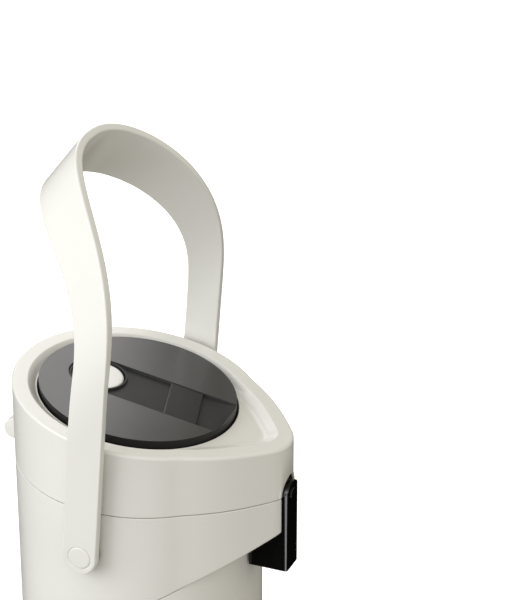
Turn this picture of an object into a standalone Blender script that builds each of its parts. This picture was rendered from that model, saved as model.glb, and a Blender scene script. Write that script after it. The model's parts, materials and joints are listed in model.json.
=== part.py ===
"""Thermal coffee airpot: a push-top vacuum flask with a beak spout and a swinging strap handle.

The frame is in metres, +Z up, with its origin on the body's axis at the table plane. The spout
faces -Y and the lid's hinge is at +Y. Sizes below are in millimetres, and the helpers turn them
into metres.
"""

import math

import bmesh
import bpy
from mathutils import Matrix, Vector

MM = 0.001
GAP = 0.3                       # play between pieces that touch

# Body, lid and collar outline: a circle about the axis, drawn out to a nose at the front.
BODY_R = 79.4
OUTLINE_R = 80.0
NOSE_REACH = 105.0
NOSE_R = 26.3
BACK_END = math.radians(-40)    # where the back circle hands over to the cheek
NOSE_START = math.radians(-53)  # where the cheek hands over to the nose circle
WALL = 2.6

# Slanted planes, each as (height at the axis, rise per mm of Y).
SEAM = (300.0, math.tan(math.radians(3.2)))
RIM = (346.8, math.tan(math.radians(9.3)))
PLATE = (348.3, math.tan(math.radians(9.3)))
COLLAR_EDGE = (216.0, -0.52)

# Lid
RIM_WIDTH = 10.0
TROUGH_DEPTH = 6.0
WELL_R = 64.2
WELL_WALL = 2.5
HINGE = (0.0, 85.0, 307.0)
KNUCKLE_R = 7.0
KNUCKLE_HALF = 6.8              # the lid's knuckle, between the collar's two
KNUCKLE_END = 12.0
HINGE_WALL_Y = 78.2             # where the knuckles' webs start, inside the back wall
WEB_INSET = 0.4                 # a web's side inside its knuckle's end
PIN_R = 2.3

# Push plate and what it carries
PLATE_R = 63.1
PLATE_THICK = 6.0
SKIRT_R = 60.4
SKIRT_BORE_R = 57.9
SKIRT_BOTTOM = 326.0
CHANNEL_HALF = 19.0
CHANNEL_DEPTH = 2.0
RAMP_Y = -49.0                  # the scoop rises from here to the plate's front edge
BUTTON_Y = 28.0
BUTTON_R = 16.7
BUTTON_DROP = 1.4               # the button's face below the plate's
BUTTON_THICK = 4.6
BUTTON_WELL_R = 17.3
BUTTON_WELL_DEPTH = 13.0
BUTTON_BOSS_R = 20.5
BEZEL_R = 18.6
BEZEL_DROP = 0.6                # the bezel's edge below the plate's face
STEM_R = 4.8
LOCK_SLIDER = [(18.6, -14.2), (-18.6, -25.4), (-18.6, -48.2), (18.6, -37.2)]

# Pump
CUP_R = 50.0
CUP_FLOOR = 286.0
CUP_FLANGE_TOP = 308.8
BELLOWS_OUT = 46.5
BELLOWS_IN = 37.0
BELLOWS_FOLDS = 4
AIR_Y = 14.0                    # the way from the bellows' cup into the flask

# Flask
JACKET_R = 72.0
LINER_R = 67.0
NECK_R = 35.0
MOUTH_Z = 268.0
DECK = (262.0, 264.5)

# Spout
SPOUT_HALF = 9.4
SPOUT_FRONT = -106.6
SPOUT_CORNER = 2.7
SPOUT_BACK = -80.3
SPOUT_BOTTOM = 241.0
RECESS_HALF = 10.0
RECESS_Y = -98.0
ARCH_TOP = 307.5                # crown of the lid's recess
TOWER_FACE = -102.8             # front of the tower that fills the recess
TONGUE_TOP = 302.6              # crown of the tongue in front of it
NOZZLE_Y = -92.0
LATCH_R = 4.2
LATCH_Z = 293.5
LATCH_STEM_Z = 291.0
RISER_Y = -18.0
PIPE_Z = 280.0
PIPE_BEND = 6.0

# Handle: a strap between a front edge and a back edge, both superellipse arches seen from the front.
HANDLE_HALF = 90.0
STRAP = 5.5
PIVOT_Z = 272.0
ARM_LEAN = -0.081               # Y per mm of height along the straight arms
FRONT_EDGE = {"y": -18.4, "spring": 381.0, "rise": 138.0, "power": 2.27, "bend": 397.0, "sweep": 0.229}
BACK_EDGE = {"y": 5.0, "spring": 343.0, "rise": 142.5, "power": 2.45, "bend": 391.0, "sweep": 0.446}
SWEEP_POWER = 2.6
ARCH_SHARE = 0.75               # share of each half's stations on the arch, the rest on the arm

FACETS = 44                     # sides of the large round pieces

PARTS = bpy.data.collections.new("coffee_airpot")
CUTTERS = bpy.data.collections.new("cutters")


# ---------------------------------------------------------------- helpers

def clear_scene():
    for obj in list(bpy.data.objects):
        bpy.data.objects.remove(obj, do_unlink=True)
    bpy.context.scene.collection.children.link(PARTS)
    bpy.context.scene.collection.children.link(CUTTERS)


def material(name, color, roughness, metallic=0.0):
    mat = bpy.data.materials.new(name)
    mat.use_nodes = True
    shader = mat.node_tree.nodes["Principled BSDF"]
    shader.inputs["Base Color"].default_value = (*color, 1.0)
    shader.inputs["Roughness"].default_value = roughness
    shader.inputs["Metallic"].default_value = metallic
    return mat


def new_object(name, bm, mat=None):
    """An object of this mesh, in the parts' collection, or in the cutters' when it has no material."""
    mesh = bpy.data.meshes.new(name)
    bmesh.ops.recalc_face_normals(bm, faces=bm.faces)
    bm.to_mesh(mesh)
    bm.free()
    obj = bpy.data.objects.new(name, mesh)
    if mat:
        mesh.materials.append(mat)
        PARTS.objects.link(obj)
    else:
        hide(obj)
    return obj


def hide(obj):
    CUTTERS.objects.link(obj)
    obj.hide_render = True
    obj.display_type = "WIRE"


def height(plane, y, lift=0.0):
    return plane[0] + plane[1] * y + lift


def prism(name, outline, low, high, mat=None):
    """A solid over a plan outline, between two planes (height, slope), given in millimetres."""
    bm = bmesh.new()
    bottom = bm.faces.new([bm.verts.new((x, y, 0)) for x, y in outline])
    top = bmesh.ops.extrude_face_region(bm, geom=[bottom])
    raised = {v for v in top["geom"] if isinstance(v, bmesh.types.BMVert)}
    for vert in bm.verts:
        vert.co.z = height(high if vert in raised else low, vert.co.y)
    bmesh.ops.scale(bm, vec=(MM, MM, MM), verts=bm.verts)
    return new_object(name, bm, mat)


def panel(name, outline, y0, y1, mat=None):
    """A solid with this outline in XZ, from y0 to y1."""
    bm = bmesh.new()
    front = bm.faces.new([bm.verts.new((x, y0, z)) for x, z in outline])
    back = bmesh.ops.extrude_face_region(bm, geom=[front])
    moved = [v for v in back["geom"] if isinstance(v, bmesh.types.BMVert)]
    bmesh.ops.translate(bm, vec=(0, y1 - y0, 0), verts=moved)
    bmesh.ops.scale(bm, vec=(MM, MM, MM), verts=bm.verts)
    return new_object(name, bm, mat)


def box(name, low, high, mat=None):
    bm = bmesh.new()
    bmesh.ops.create_cube(bm, size=1)
    size = Vector(high) - Vector(low)
    bmesh.ops.scale(bm, vec=size * MM, verts=bm.verts)
    bmesh.ops.translate(bm, vec=(Vector(high) + Vector(low)) / 2 * MM, verts=bm.verts)
    return new_object(name, bm, mat)


def rod(name, start, axis, length, radius, mat=None, sides=24):
    """A cylinder from start along +X, +Y or +Z."""
    turn = {"X": Matrix.Rotation(math.pi / 2, 4, "Y"), "Y": Matrix.Rotation(-math.pi / 2, 4, "X"),
            "Z": Matrix.Identity(4)}[axis]
    bm = bmesh.new()
    bmesh.ops.create_cone(bm, cap_ends=True, segments=sides, radius1=radius * MM, radius2=radius * MM,
                          depth=length * MM, matrix=Matrix.Translation((0, 0, length / 2 * MM)))
    bmesh.ops.transform(bm, matrix=Matrix.Translation(Vector(start) * MM) @ turn, verts=bm.verts)
    return new_object(name, bm, mat)


def turned(name, profile, mat=None, centre=(0, 0), closed=True, steps=28, side=None):
    """A turned solid. The profile is (radius, z) points, running down its outer side.

    Its axis is Z at centre, an (x, y). With side 1 or -1 its axis is X or -X at centre, a (y, z).
    """
    bm = bmesh.new()
    verts = [bm.verts.new((r * MM, 0, z * MM)) for r, z in profile]
    for a, b in zip(verts, verts[1:] + verts[:1] if closed else verts[1:]):
        bm.edges.new((a, b))
    mesh = bpy.data.meshes.new(name)
    bm.to_mesh(mesh)
    bm.free()
    obj = bpy.data.objects.new(name, mesh)
    screw = obj.modifiers.new("Turn", "SCREW")
    screw.steps = screw.render_steps = steps
    screw.use_merge_vertices = True
    screw.merge_threshold = 1e-6
    if side:
        obj.location = Vector((0, *centre)) * MM
        obj.rotation_euler = (0, side * math.pi / 2, 0)
    else:
        obj.location = Vector((*centre, 0)) * MM
    if mat:
        mesh.materials.append(mat)
        PARTS.objects.link(obj)
    else:
        hide(obj)
    return obj


def combine(obj, other, operation):
    modifier = obj.modifiers.new(operation.title(), "BOOLEAN")
    modifier.operation = operation
    modifier.solver = "EXACT"
    modifier.object = other
    if other.name not in CUTTERS.objects:
        PARTS.objects.unlink(other)
        hide(other)


def cut(obj, *cutters):
    for cutter in cutters:
        combine(obj, cutter, "DIFFERENCE")


def join(obj, *others):
    for other in others:
        combine(obj, other, "UNION")


def circle(radius, centre=(0, 0), steps=36):
    turns = [2 * math.pi * i / steps for i in range(steps)]
    return [(centre[0] + radius * math.cos(a), centre[1] + radius * math.sin(a)) for a in turns]


def arc(radius, start, end, steps, centre=(0, 0)):
    turns = [start + (end - start) * i / steps for i in range(steps + 1)]
    return [(centre[0] + radius * math.cos(a), centre[1] + radius * math.sin(a)) for a in turns]


def teardrop(inset=0.0):
    """The plan outline of the lid and the collar, anticlockwise, moved inwards by inset."""
    back_r, nose_r = OUTLINE_R - inset, NOSE_R - inset
    nose_centre = (0, -(NOSE_REACH - NOSE_R))
    cheek_start = Vector(arc(back_r, BACK_END, BACK_END, 1)[0])
    cheek_end = Vector(arc(nose_r, NOSE_START, NOSE_START, 1, nose_centre)[0])
    span = (cheek_end - cheek_start).length
    lead = Vector((math.sin(BACK_END), -math.cos(BACK_END))) * span * 0.2
    tail = Vector((math.sin(NOSE_START), -math.cos(NOSE_START))) * span * 0.6
    cheek = []
    for i in range(1, 6):
        t = i / 6
        cheek.append((1 - t) ** 3 * cheek_start + 3 * t * (1 - t) ** 2 * (cheek_start + lead)
                     + 3 * t * t * (1 - t) * (cheek_end - tail) + t ** 3 * cheek_end)
    right = [(p.x, p.y) for p in cheek]
    left = [(-x, y) for x, y in right]
    back = arc(back_r, BACK_END, math.pi - BACK_END, 32)
    nose = arc(nose_r, math.pi - NOSE_START - 2 * math.pi, NOSE_START, 8, nose_centre)
    return back + left + nose + right[::-1]


def rounded_box(x_half, y0, y1, radius):
    """A plan rectangle whose two corners at y0, the front, are rounded."""
    corners = arc(radius, math.pi, 1.5 * math.pi, 5, (-x_half + radius, y0 + radius))
    corners += arc(radius, 1.5 * math.pi, 2 * math.pi, 5, (x_half - radius, y0 + radius))
    return corners + [(x_half, y1), (-x_half, y1)]


def pipe(name, points, radius, wall, mat):
    """A tube of this outer radius along the points."""
    curve = bpy.data.curves.new(name, "CURVE")
    curve.dimensions = "3D"
    curve.bevel_depth = radius * MM
    curve.bevel_resolution = 2
    spline = curve.splines.new("POLY")
    spline.points.add(len(points) - 1)
    for point, place in zip(spline.points, points):
        point.co = (*(Vector(place) * MM), 1)
    guide = bpy.data.objects.new(name + "_guide", curve)
    PARTS.objects.link(guide)
    if not wall:
        curve.use_fill_caps = True
    bpy.context.view_layer.update()
    mesh = bpy.data.meshes.new_from_object(guide.evaluated_get(bpy.context.evaluated_depsgraph_get()))
    bpy.data.objects.remove(guide, do_unlink=True)
    bm = bmesh.new()
    bm.from_mesh(mesh)
    bpy.data.meshes.remove(mesh)
    bmesh.ops.remove_doubles(bm, verts=bm.verts, dist=1e-7)
    obj = new_object(name, bm, mat)
    if wall:
        skin = obj.modifiers.new("Wall", "SOLIDIFY")
        skin.thickness = wall * MM
        skin.offset = -1
    return obj


def bend(centre, radius, start, end, steps=6):
    """Points of an arc in the plane X = 0, as (0, y, z)."""
    return [(0, y, z) for y, z in arc(radius, start, end, steps, centre)]


def coil(name, radius, wire, low, high, turns, centre, mat, slope=0.0, per_turn=10):
    """A coil spring whose ends lie parallel to a plane of this slope."""
    count = int(turns * per_turn)
    points = []
    for i in range(count + 1):
        a = 2 * math.pi * i / per_turn
        x, y = radius * math.cos(a), radius * math.sin(a)
        points.append((centre[0] + x, centre[1] + y, low + (high - low) * i / count + slope * y))
    return pipe(name, points, wire, 0, mat)


def smooth(obj):
    obj.data.shade_smooth()
    obj.data.set_sharp_from_angle(angle=math.radians(35))


# ---------------------------------------------------------------- materials

IVORY = material("ivory_gloss", (0.83, 0.82, 0.78), 0.22)
CHARCOAL = material("charcoal_satin", (0.075, 0.075, 0.078), 0.35)
BLACK = material("black_gloss", (0.012, 0.012, 0.012), 0.12)
WHITE = material("white_gloss", (0.85, 0.85, 0.84), 0.25)
STEEL = material("brushed_steel", (0.62, 0.62, 0.62), 0.3, 1.0)
SPRING = material("spring_steel", (0.5, 0.5, 0.5), 0.25, 1.0)
RUBBER = material("black_rubber", (0.03, 0.03, 0.03), 0.8)
SILICONE = material("milky_silicone", (0.7, 0.7, 0.68), 0.5)
INNER = material("grey_plastic", (0.35, 0.35, 0.35), 0.5)


# ---------------------------------------------------------------- base and body

def make_base():
    turned("foot_pad", [(0, 2.4), (70, 2.4), (71, 1.6), (71, 0.6), (70, 0), (0, 0)], RUBBER, closed=False)
    profile = [(0, 12.3), (12, 12.3), (12, 8.4), (78.4, 8.4), (BODY_R, 7.4), (BODY_R, 3.7), (78.4, 2.7),
               (0, 2.7)]
    base = turned("swivel_base", profile, INNER, closed=False, steps=48)
    cut(base, rod("screw_pilot", (0, 0, 5.5), "Z", 20, 2.4))
    turned("swivel_washer", [(2.6, 14.9), (20, 14.9), (20, 12.7), (2.6, 12.7)], STEEL, steps=32)
    screw = [(0, 18), (5, 18), (7, 16.6), (7, 15.2), (2, 15.2), (2, 6.2), (0, 6.2)]
    turned("swivel_screw", screw, SPRING, closed=False, steps=24)
    turned("base_cap", [(77.1, 30), (77.1, 8.8), (12.4, 8.8), (12.4, 12.0), (74.6, 12.0), (74.6, 30)], INNER)


def make_body():
    top = (COLLAR_EDGE[0] - GAP, COLLAR_EDGE[1])
    shell = prism("body_shell", circle(BODY_R, steps=FACETS), (9.0, 0), top, IVORY)
    cut(shell, rod("shell_bore", (0, 0, 0), "Z", 320, BODY_R - 2, sides=FACETS))
    cushion = [(62, 21.7), (66, 21.7), (66, 12.3), (30, 12.3), (30, 21.7), (34, 21.7), (34, 17), (62, 17)]
    turned("flask_cushion", cushion, RUBBER)
    outer = [(36.4, 261.4), (36.4, 254), (58, 248), (JACKET_R, 230), (JACKET_R, 30), (62, 22), (0, 22)]
    inner = [(0, 23.2), (61.5, 23.2), (70.8, 30.4), (70.8, 229.6), (57.3, 246.9), (35.4, 253), (35.4, 261.4)]
    turned("vacuum_jacket", outer + inner, STEEL)
    outer = [(38, MOUTH_Z), (38, 267.2), (NECK_R, 266.4), (NECK_R, 248), (55, 241), (LINER_R, 225),
             (LINER_R, 34), (58, 27), (0, 27)]
    inner = [(0, 27.9), (57.7, 27.9), (66.1, 34.4), (66.1, 224.7), (54.6, 240.1), (34.1, 247.2),
             (34.1, MOUTH_Z)]
    turned("inner_flask", outer + inner, STEEL)


def make_collar():
    outline = teardrop()
    top = (SEAM[0] - GAP / 2, SEAM[1])
    collar = prism("collar", outline, COLLAR_EDGE, top, IVORY)
    cut(collar, prism("collar_hollow", teardrop(WALL), (COLLAR_EDGE[0] + WALL, COLLAR_EDGE[1]), (340, 0)),
        rod("collar_bore", (0, 0, 150), "Z", 190, OUTLINE_R - WALL, sides=FACETS))
    ledge = [(78.5, 261.7), (78.5, 257.8), (73, 257.8), (73, 261.7)]
    join(collar, turned("deck_ledge", ledge, steps=FACETS))
    room = KNUCKLE_HALF + GAP + 0.1
    cut(collar, rod("lid_knuckle_room", (-room, *HINGE[1:]), "X", 2 * room, KNUCKLE_R + GAP))
    for side, start in (("left", -KNUCKLE_END), ("right", KNUCKLE_HALF + GAP)):
        width = KNUCKLE_END - KNUCKLE_HALF - GAP
        web_start, web_end = start + WEB_INSET, start + width - WEB_INSET
        join(collar, rod("knuckle_" + side, (start, *HINGE[1:]), "X", width, KNUCKLE_R),
             box("knuckle_web_" + side, (web_start, HINGE_WALL_Y, HINGE[2] - KNUCKLE_R + 0.2),
                 (web_end, HINGE[1], HINGE[2] - 3)))
    cut(collar, rod("hinge_bore", (-30, *HINGE[1:]), "X", 60, PIN_R + GAP),
        rod("pivot_bore", (-100, 0, PIVOT_Z), "X", 200, 4.0),
        box("spout_slot", (-RECESS_HALF, -115, 200), (RECESS_HALF, RECESS_Y, 320)),
        rod("nozzle_hole", (0, NOZZLE_Y, 250), "Z", 30, 6.0))
    plate = [(38.6, DECK[1]), (76.9, DECK[1]), (76.9, DECK[0]), (38.6, DECK[0])]
    deck = turned("neck_deck", plate, INNER, steps=FACETS)
    clamp = turned("neck_clamp", [(39, 261.7), (66, 261.7), (66, 257.5), (39, 257.5)], INNER)
    holes = [rod(f"deck_hole_{i}", (*place, 250), "Z", 30, 1.9, sides=12)
             for i, place in enumerate(deck_places())]
    cut(deck, *holes)
    cut(clamp, *holes)
    for i, place in enumerate(deck_places(), 1):
        head = [(0, 267), (2.4, 267), (3.2, 266), (3.2, 264.8)]
        shank = [(1.6, 264.8), (1.6, 256), (0, 256)]
        turned(f"deck_screw_{i}", head + shank, SPRING, place, closed=False, steps=12)


def deck_places():
    return [(58 * math.cos(a), 58 * math.sin(a)) for a in (math.radians(30 + 120 * i) for i in range(3))]


def make_stopper():
    gasket = [(31.5, 270.1), (37.5, 270.1), (37.5, 268.3), (34.6, 268.3), (34.6, 269.0), (31.5, 269.0)]
    turned("mouth_gasket", gasket, SILICONE)
    profile = [(0, 274), (39, 274), (39, 270.5), (31.2, 270.5), (31.2, 268.7), (33.4, 267.5), (33.4, 256),
               (31, 254), (0, 254)]
    plug = turned("flask_stopper", profile, INNER, closed=False)
    cut(plug, rod("riser_hole", (0, RISER_Y, 240), "Z", 50, 4.8),
        rod("air_hole", (0, AIR_Y, 240), "Z", 50, 3.5))
    pipe("dip_tube", [(0, RISER_Y, 33), (0, RISER_Y, 150), (0, RISER_Y, 262)], 4.2, 1.1, INNER)
    route = [(0, RISER_Y, 262.6), (0, RISER_Y, PIPE_Z - PIPE_BEND)]
    route += bend((RISER_Y - PIPE_BEND, PIPE_Z - PIPE_BEND), PIPE_BEND, 0, math.pi / 2)[1:]
    route += bend((NOZZLE_Y + PIPE_BEND, PIPE_Z - PIPE_BEND), PIPE_BEND, math.pi / 2, math.pi)
    route += [(0, NOZZLE_Y, 262)]
    pipe("spout_pipe", route, 4.4, 1.1, INNER)
    nozzle = [(3.3, 261.5), (5.6, 261.5), (5.6, 256), (4.6, 254), (4.9, 246), (3.7, 246), (3.5, 254)]
    turned("spout_nozzle", nozzle, BLACK, (0, NOZZLE_Y), steps=24)


# ---------------------------------------------------------------- spout

def arch(half, bottom, top):
    """An arch outline in XZ, springing from the seam at the nose."""
    spring = height(SEAM, -NOSE_REACH)
    crown = [(half * math.cos(a), spring + (top - spring) * math.sin(a))
             for a in (math.pi * i / 14 for i in range(15))]
    return [(-half, bottom), (half, bottom)] + crown


def make_spout():
    """A glossy cover: a tower in the lid's recess, a tongue in front of it and a wing under the collar."""
    tower_plan = rounded_box(RECESS_HALF - GAP, TOWER_FACE, RECESS_Y - 0.8, 1)
    cover = prism("spout_cover", tower_plan, (SPOUT_BOTTOM + 15, 0), (320, 0), BLACK)
    combine(cover, panel("tower_arch", arch(RECESS_HALF - GAP, 200, ARCH_TOP - GAP), -120, -80), "INTERSECT")
    tongue = prism("tongue", rounded_box(SPOUT_HALF, SPOUT_FRONT, RECESS_Y - 1.5, SPOUT_CORNER),
                   (SPOUT_BOTTOM, 0), (320, 0))
    combine(tongue, panel("tongue_arch", arch(SPOUT_HALF + 0.1, 200, TONGUE_TOP), -120, -80), "INTERSECT")
    wing = prism("spout_wing", rounded_box(SPOUT_HALF, SPOUT_FRONT, SPOUT_BACK, SPOUT_CORNER),
                 (SPOUT_BOTTOM, 0), (COLLAR_EDGE[0] - GAP, COLLAR_EDGE[1]))
    join(cover, tongue, wing)
    cut(cover, box("nozzle_cavity", (-6.8, -104.5, 230), (6.8, -84, 257)),
        rod("nozzle_way", (0, NOZZLE_Y, 240), "Z", 40, 6.2),
        rod("latch_pocket", (0, -112, LATCH_Z), "Y", 10.6, LATCH_R + 0.4),
        rod("latch_way", (0, -112, LATCH_STEM_Z), "Y", 20, 2.1, sides=16))
    latch = rod("lid_latch", (0, SPOUT_FRONT - 0.7, LATCH_Z), "Y", 3.3, LATCH_R, BLACK)
    join(latch, rod("latch_stem", (0, -105, LATCH_STEM_Z), "Y", 11, 1.7, sides=16))


# ---------------------------------------------------------------- handle

def strap_edge(edge, t):
    """A point of one edge of the strap, for t from -1 (left arm's foot) over the top to 1."""
    side = math.copysign(1, t)
    if abs(t) > ARCH_SHARE:
        share = (1 - abs(t)) / (1 - ARCH_SHARE)
        x, z = HANDLE_HALF, PIVOT_Z + (edge["spring"] - PIVOT_Z) * share
    else:
        a = abs(t) / ARCH_SHARE * math.pi / 2
        x = HANDLE_HALF * math.sin(a) ** (2 / edge["power"])
        z = edge["spring"] + edge["rise"] * max(0.0, math.cos(a)) ** (2 / edge["power"])
    sweep = edge["sweep"] / 1000 * max(0.0, z - edge["bend"]) ** SWEEP_POWER
    return Vector((side * x, edge["y"] + ARM_LEAN * (z - 360) + sweep, z)) * MM


def strap_stations(count=44, foot_steps=5):
    """Pairs of a front and a back edge point, from the left arm's round foot to the right arm's."""
    arms = [tuple(strap_edge(edge, -1 + 2 * i / count) for edge in (FRONT_EDGE, BACK_EDGE))
            for i in range(count + 1)]
    feet = []
    for front, back in (arms[0], arms[-1]):
        centre, half = (front + back) / 2, (back - front) / 2
        turns = [math.radians(78) * i / foot_steps for i in range(1, foot_steps + 1)]
        feet.append([tuple(centre + side * half * math.cos(a) - Vector((0, 0, half.length * math.sin(a)))
                           for side in (-1, 1)) for a in turns])
    return feet[0][::-1] + arms + feet[1]


def make_handle():
    bm = bmesh.new()
    edges = []
    for verts in zip(*[[bm.verts.new(point) for point in pair] for pair in strap_stations()]):
        edges += [bm.edges.new(pair) for pair in zip(verts, verts[1:])]
    bmesh.ops.bridge_loops(bm, edges=edges)
    handle = new_object("handle", bm, IVORY)
    crest = max(handle.data.polygons, key=lambda face: face.center.z)
    if crest.normal.z < 0:
        handle.data.flip_normals()
    skin = handle.modifiers.new("Thickness", "SOLIDIFY")
    skin.thickness = STRAP * MM
    skin.offset = -1
    skin.use_even_offset = True
    cut(handle, rod("arm_bore", (-110, 0, PIVOT_Z), "X", 220, 4.1))
    for side, start in (("left", -HANDLE_HALF - 5), ("right", HANDLE_HALF - 1)):
        cut(handle, rod("cap_seat_" + side, (start, 0, PIVOT_Z), "X", 6, 7.8, sides=32))
    for name, side in (("left", -1), ("right", 1)):
        turned("pivot_pin_" + name, [(0, 88.7), (3.8, 88.7), (3.8, 76.7), (7, 76.7), (7, 74.2), (0, 74.2)],
               SPRING, (0, PIVOT_Z), closed=False, steps=24, side=side)
        turned("pivot_cap_" + name, [(0, 90.5), (6.7, 90.5), (7.5, 89.9), (7.5, 89.3), (0, 89.3)],
               IVORY, (0, PIVOT_Z), closed=False, steps=32, side=side)
        turned("pivot_spacer_" + name, [(4.2, 84.1), (10, 84.1), (10, 80.4), (4.2, 80.4)],
               INNER, (0, PIVOT_Z), steps=24, side=side)


# ---------------------------------------------------------------- lid

def boss_places():
    back = [(72.4 * math.cos(a), 72.4 * math.sin(a)) for a in (math.radians(20), math.radians(160))]
    return back + [(0, -84)]


def make_lid():
    bottom = (SEAM[0] + GAP / 2, SEAM[1])
    lid = prism("lid_shell", teardrop(), bottom, RIM, IVORY)
    cut(lid, prism("lid_hollow", teardrop(WALL), (280, 0), (RIM[0] - TROUGH_DEPTH - WALL, RIM[1])),
        prism("lid_trough", teardrop(RIM_WIDTH), (RIM[0] - TROUGH_DEPTH, RIM[1]), (420, 0)))
    well_top = (RIM[0] - TROUGH_DEPTH - 1, RIM[1])
    join(lid, prism("well_tube", circle(WELL_R + WELL_WALL, steps=FACETS), (310.5, 0), well_top),
         box("recess_wall", (-13, -102.6, 295.5), (13, -96.3, 312)))
    for i, (x, y) in enumerate(boss_places()):
        join(lid, prism(f"lid_boss_{i}", circle(4.5, (x, y), 16), (308.5, 0), well_top))
    for side, start in (("left", -KNUCKLE_END - GAP), ("right", KNUCKLE_HALF + 0.1)):
        width = KNUCKLE_END - KNUCKLE_HALF + GAP - 0.1
        cut(lid, rod("collar_knuckle_room_" + side, (start, *HINGE[1:]), "X", width, KNUCKLE_R + GAP))
    web = KNUCKLE_HALF - WEB_INSET
    join(lid, rod("lid_knuckle", (-KNUCKLE_HALF, *HINGE[1:]), "X", 2 * KNUCKLE_HALF, KNUCKLE_R),
         box("lid_web", (-web, HINGE_WALL_Y, HINGE[2] - 1), (web, HINGE[1], HINGE[2] + KNUCKLE_R - 0.2)))
    cut(lid, rod("well_bore", (0, 0, 280), "Z", 120, WELL_R, sides=FACETS),
        rod("lid_hinge_bore", (-30, *HINGE[1:]), "X", 60, PIN_R + GAP),
        panel("arch_recess", arch(RECESS_HALF, 280, ARCH_TOP), -115, RECESS_Y))
    for i, (x, y) in enumerate(boss_places()):
        cut(lid, rod(f"boss_hole_{i}", (x, y, 300), "Z", 16, 1.8, sides=12))
    pin_end = KNUCKLE_END + 0.4
    turned("hinge_pin", [(0, pin_end), (PIN_R, pin_end), (PIN_R, -pin_end), (0, -pin_end)], SPRING, HINGE[1:],
           closed=False, steps=16, side=1)

    base = prism("lid_base", teardrop(WALL + 0.4), (SEAM[0] + 0.4, SEAM[1]), (SEAM[0] + 2.8, SEAM[1]), INNER)
    cut(base, rod("cup_hole", (0, 0, 280), "Z", 60, CUP_R + 0.4, sides=48),
        box("recess_room", (-13.4, -110, 280), (13.4, -96, 320)))
    for i, (x, y) in enumerate(boss_places()):
        z = height(SEAM, y)
        cut(base, rod(f"lid_screw_hole_{i}", (x, y, 280), "Z", 60, 1.9, sides=12),
            rod(f"lid_screw_seat_{i}", (x, y, 280), "Z", z + 1.9 - 280, 3.5, sides=16))
    for i, (x, y) in enumerate(boss_places(), 1):
        z = height(SEAM, y)
        shank = [(0, z + 12), (1.5, z + 12), (1.5, z + 1.5)]
        head = [(3, z + 1.5), (3, z + 0.3), (0, z + 0.3)]
        turned(f"lid_screw_{i}", shank + head, SPRING, (x, y), closed=False, steps=12)


def make_pump():
    profile = [(0, 288), (48, 288), (48, CUP_FLANGE_TOP), (62, CUP_FLANGE_TOP), (62, 306.9), (CUP_R, 306.9),
               (CUP_R, CUP_FLOOR), (0, CUP_FLOOR)]
    cup = turned("bellows_cup", profile, INNER, closed=False)
    cut(cup, rod("valve_hole", (0, AIR_Y, 280), "Z", 20, 2.8))
    seal = [(6, 285.7), (8.5, 285.7), (9.5, 274.6), (8, 274.6), (6, 283)]
    turned("air_seal", seal, SILICONE, (0, AIR_Y), steps=24)
    valve = [(0, 289.6), (3.5, 289.4), (5.2, 288.3), (2.4, 288.3), (2.4, 284.5), (0, 284.5)]
    turned("air_valve", valve, SILICONE, (0, AIR_Y), closed=False, steps=24)
    low, high = 288.4, SKIRT_BOTTOM + 0.6
    step = (high - low - 2.4) / BELLOWS_FOLDS
    outer, inner = [(BELLOWS_IN + 6, high)], []
    for i in range(BELLOWS_FOLDS):
        top = high - 1.2 - i * step
        outer += [(BELLOWS_OUT, top - step * 0.25), (BELLOWS_IN + 1.2, top - step * 0.75)]
        inner += [(BELLOWS_OUT - 1.6, top - step * 0.25), (BELLOWS_IN, top - step * 0.75)]
    outer += [(BELLOWS_IN + 6, low)]
    inner = [(BELLOWS_IN - 2, low)] + inner[::-1] + [(BELLOWS_IN - 2, high)]
    turned("bellows", outer + inner, SILICONE, steps=24)
    coil("bellows_spring", 24, 1.1, low + 1.3, high - 1.4, 4, (0, 0), SPRING)


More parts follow.
